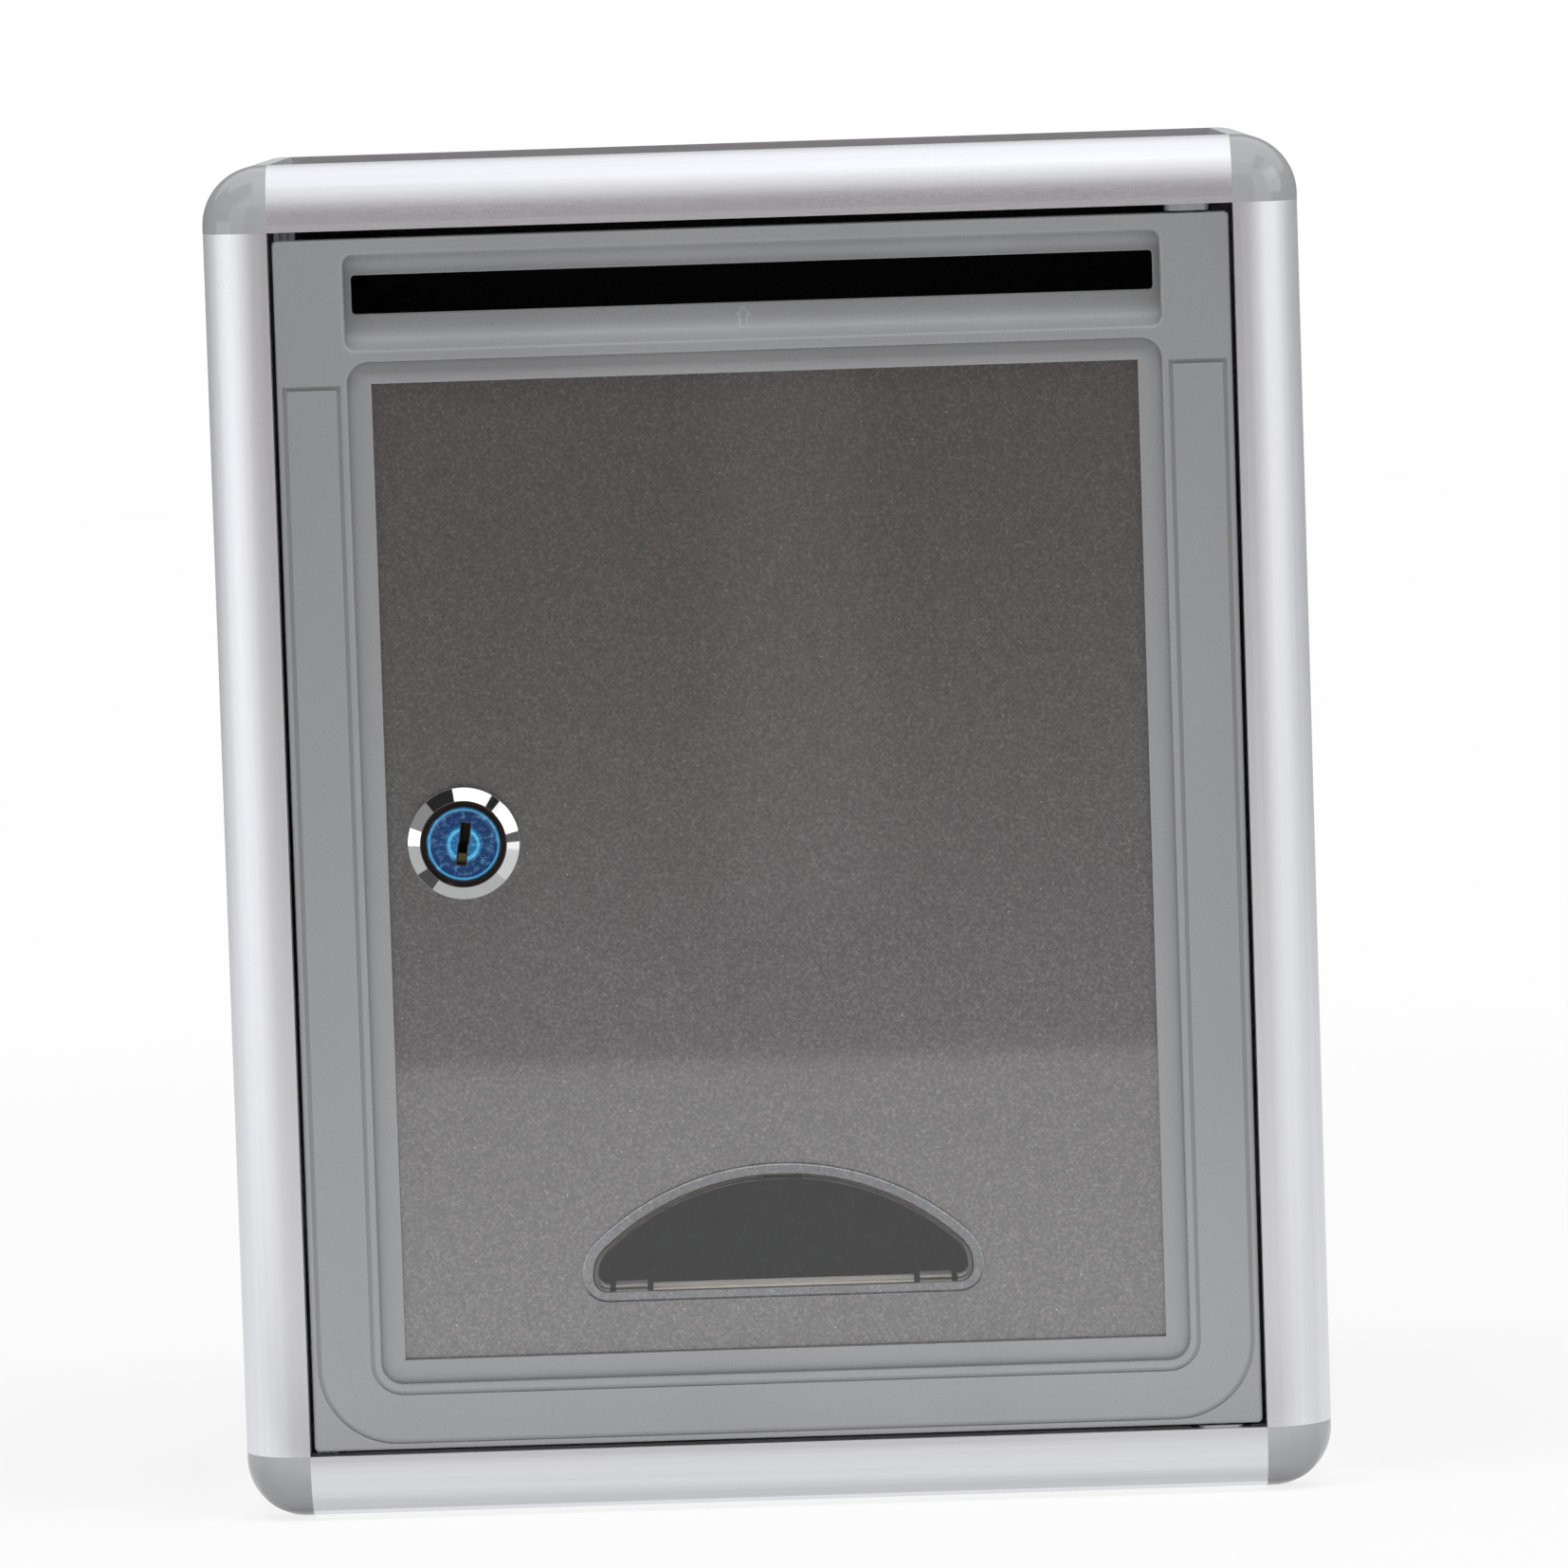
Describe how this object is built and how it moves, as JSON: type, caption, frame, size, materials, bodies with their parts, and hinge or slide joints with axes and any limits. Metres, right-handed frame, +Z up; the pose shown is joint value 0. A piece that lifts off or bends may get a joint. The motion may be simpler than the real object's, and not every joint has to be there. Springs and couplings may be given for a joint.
{
  "type": "donation box",
  "caption": "Aluminium-framed donation box with rounded edges, a hinged grey door with a letter slot, a keyed cam lock and a half-moon window.",
  "frame": {"origin": "centre of the base on the plane the box stands on", "axes": "+Z up, the door faces -Y, +X to the right when facing the door"},
  "size_m": [0.22, 0.1211, 0.2736],
  "materials": {
    "aluminium": "satin anodised",
    "corner_plastic": "semi-gloss moulded",
    "dark_sheet": "satin dark grey composite board",
    "nylon": "grey moulded",
    "door_plastic": "fine satin moulded",
    "metallic_sheet": "gunmetal metallic sheet, semi-gloss",
    "clear_plastic": "clear polished",
    "chrome": "bright plated",
    "lock_zinc": "die-cast, plated",
    "blue_film": "thin wrinkled film",
    "brass": "stamped",
    "plated_steel": "zinc plated"
  },
  "bodies": {
    "case": {"post_front_left": "aluminium", "post_front_right": "aluminium", "post_rear_left": "aluminium", "post_rear_right": "aluminium", "rail_front_top": "aluminium", "rail_front_bottom": "aluminium", "rail_rear_top": "aluminium", "rail_rear_bottom": "aluminium", "rail_left_top": "aluminium", "rail_left_bottom": "aluminium", "rail_right_top": "aluminium", "rail_right_bottom": "aluminium", "corner_front_bottom_left": "corner_plastic", "corner_front_bottom_right": "corner_plastic", "corner_front_top_left": "corner_plastic", "corner_front_top_right": "corner_plastic", "corner_rear_bottom_left": "corner_plastic", "corner_rear_bottom_right": "corner_plastic", "corner_rear_top_left": "corner_plastic", "corner_rear_top_right": "corner_plastic", "sheet_left": "dark_sheet", "sheet_right": "dark_sheet", "sheet_top": "dark_sheet", "sheet_bottom": "dark_sheet", "sheet_back": "dark_sheet", "hinge_pivot_top": "nylon", "hinge_pivot_bottom": "nylon", "door_stop_top": "nylon", "door_stop_bottom": "nylon"},
    "door": {"door_frame": "door_plastic", "door_sheet": "metallic_sheet", "window": "clear_plastic", "lock_housing": "chrome", "lock_washer": "plated_steel", "lock_nut": "plated_steel"},
    "lock": {"lock_plug": "lock_zinc", "lock_film": "blue_film", "lock_wafers": "brass", "lock_stop_disc": "plated_steel", "lock_cam": "plated_steel", "cam_screw": "plated_steel"}
  },
  "joints": [
    {"name": "door_hinge", "type": "hinge", "parent": "case", "child": "door", "pos_m": [0.0874, -0.0565, 0.1368], "axis": [0, 0, 1], "range_deg": [0, 120]},
    {"name": "lock_turn", "type": "hinge", "parent": "door", "child": "lock", "pos_m": [-0.0614, -0.0571, 0.1366], "axis": [0, 1, 0], "range_deg": [0, 90]}
  ]
}
